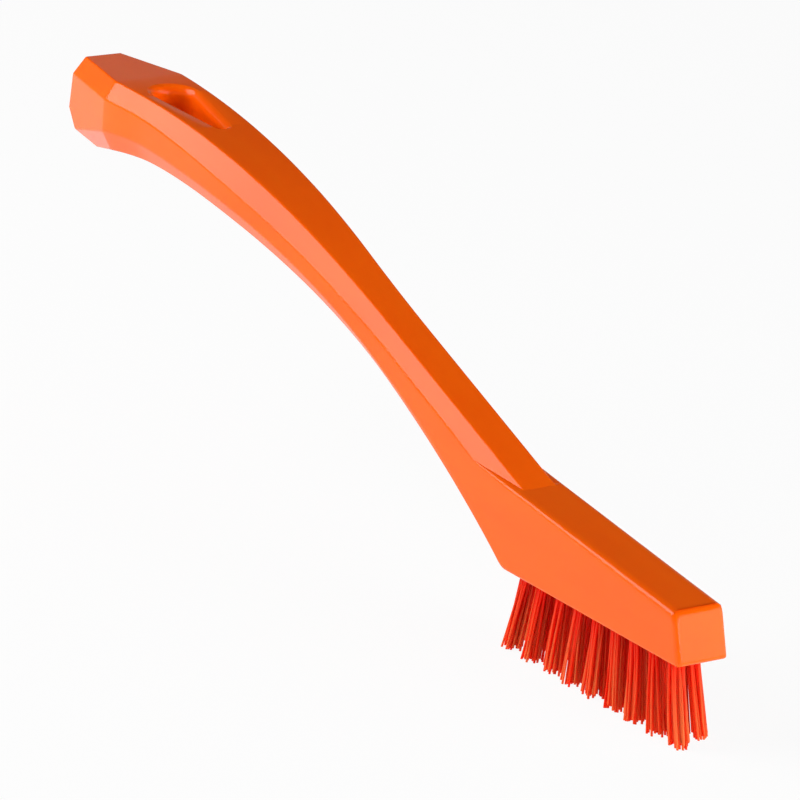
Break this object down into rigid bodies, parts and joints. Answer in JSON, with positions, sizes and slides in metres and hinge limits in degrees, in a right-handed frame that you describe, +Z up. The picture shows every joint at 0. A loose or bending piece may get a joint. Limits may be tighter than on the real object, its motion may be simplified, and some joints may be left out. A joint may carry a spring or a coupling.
{
  "type": "grout brush",
  "caption": "Narrow detail brush with an arched one-piece handle, a drop-shaped hanging hole and short tufts of stiff bristles for scrubbing grout lines.",
  "frame": {"origin": "middle of the brush's length and width, on the plane of the bristle tips", "axes": "+X from the toe of the head to the end of the handle, +Y across the width, +Z up, away from the bristle tips"},
  "size_m": [0.206, 0.02, 0.0698],
  "materials": {
    "handle": "satin moulded polypropylene",
    "bristles": "extruded polyester filament",
    "anchor_steel": "rolled stainless strip"
  },
  "bodies": {
    "root": {"handle_block": "handle", "tuft_anchors": "anchor_steel", "right_tuft_1": "bristles", "right_tuft_2": "bristles", "right_tuft_3": "bristles", "right_tuft_4": "bristles", "right_tuft_5": "bristles", "right_tuft_6": "bristles", "right_tuft_7": "bristles", "right_tuft_8": "bristles", "right_tuft_9": "bristles", "left_tuft_1": "bristles", "left_tuft_2": "bristles", "left_tuft_3": "bristles", "left_tuft_4": "bristles", "left_tuft_5": "bristles", "left_tuft_6": "bristles", "left_tuft_7": "bristles", "left_tuft_8": "bristles", "left_tuft_9": "bristles"}
  },
  "joints": []
}
